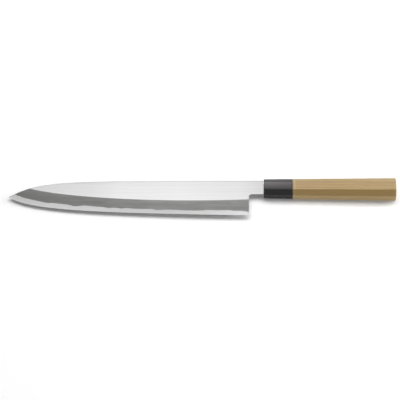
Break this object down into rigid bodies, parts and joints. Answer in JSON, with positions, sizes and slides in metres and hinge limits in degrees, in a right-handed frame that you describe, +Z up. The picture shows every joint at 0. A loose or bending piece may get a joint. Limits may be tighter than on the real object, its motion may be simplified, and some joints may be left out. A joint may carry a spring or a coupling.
{
  "type": "sujihiki knife",
  "caption": "Long slim slicing knife: a laminated double-bevel blade on a hidden tang, in a tapering octagonal wooden handle with a horn ferrule.",
  "frame": {"origin": "on the table the knife lies on, under the middle of its box in X and Y", "axes": "+X along the knife from tip to butt, +Y from the cutting edge to the spine, +Z up through the blade's left face. The knife lies on its right side, on its tip and the ferrule's front edge, so its own length leans 1.8 degrees from X."},
  "size_m": [0.4346, 0.0432, 0.0246],
  "materials": {
    "core_steel": "bright hard steel, finely polished along the edge",
    "cladding": "satin flat with fine lengthwise lines, hazy darker bevel",
    "horn": "polished black buffalo horn",
    "wood": "sanded bare magnolia with straight lengthwise grain",
    "resin": "dark set resin"
  },
  "bodies": {
    "root": {"core_steel": "core_steel", "left_cladding": "cladding", "right_cladding": "cladding", "ferrule": "horn", "handle": "wood", "mouth_seal": "resin"}
  },
  "joints": []
}
